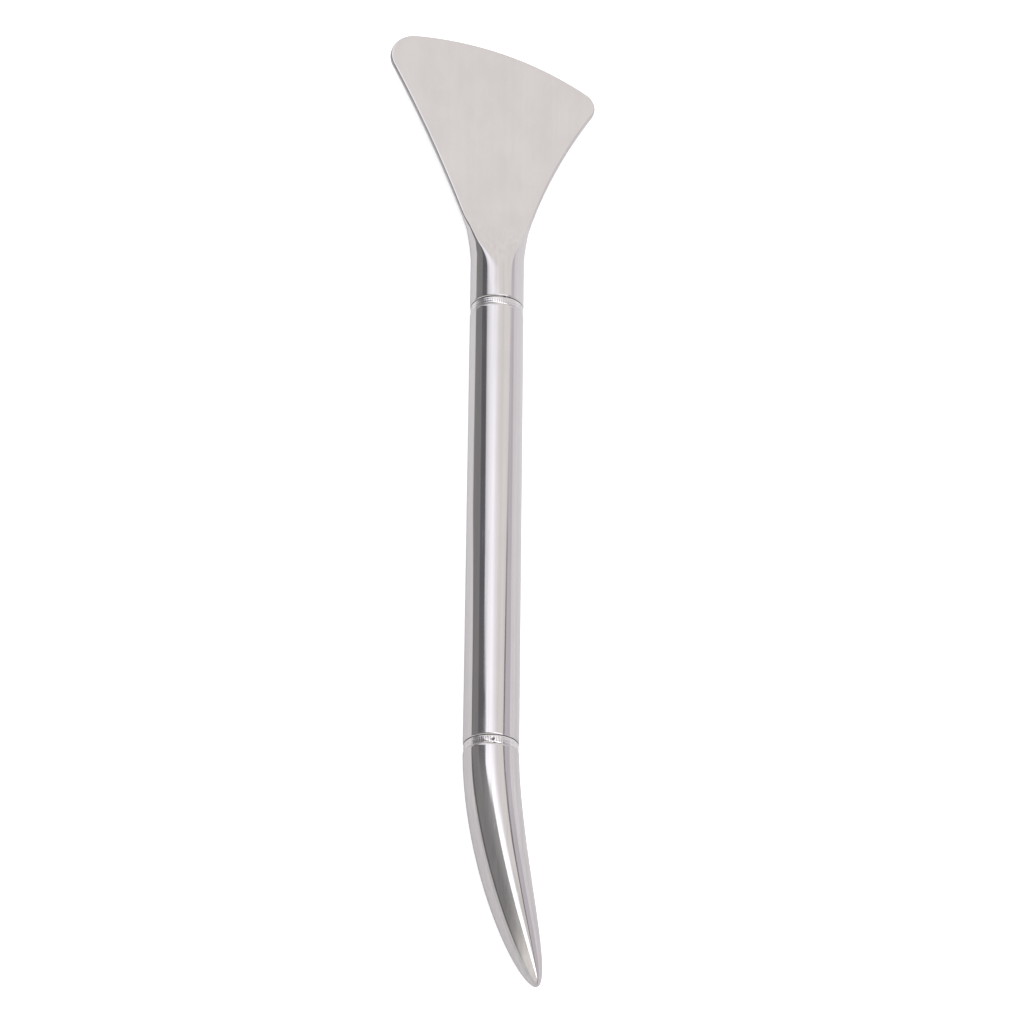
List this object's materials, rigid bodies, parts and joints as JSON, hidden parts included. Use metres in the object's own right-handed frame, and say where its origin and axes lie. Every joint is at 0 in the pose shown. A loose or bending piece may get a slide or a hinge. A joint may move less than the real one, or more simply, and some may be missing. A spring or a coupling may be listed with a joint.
{
  "type": "sculpting spatula",
  "caption": "Double-ended stainless steel sculpting spatula: a skewed, rounded fan blade and a curved, tapering horn, each welded to a round tube handle.",
  "frame": {"origin": "the middle of the overall box in X and Y, at the level that the tube rests on", "axes": "+Y runs along the tool from the horn to the fan blade, +X is the side that the horn's point bends to, and +Z is square to the blade's flat faces"},
  "size_m": [0.0394, 0.1906, 0.01],
  "materials": {
    "polished_steel": "polished",
    "weld_metal": "as welded"
  },
  "bodies": {
    "root": {"fan_blade": "polished_steel", "blade_weld": "weld_metal", "handle_tube": "polished_steel", "tip_weld": "weld_metal", "curved_tip": "polished_steel"}
  },
  "joints": []
}
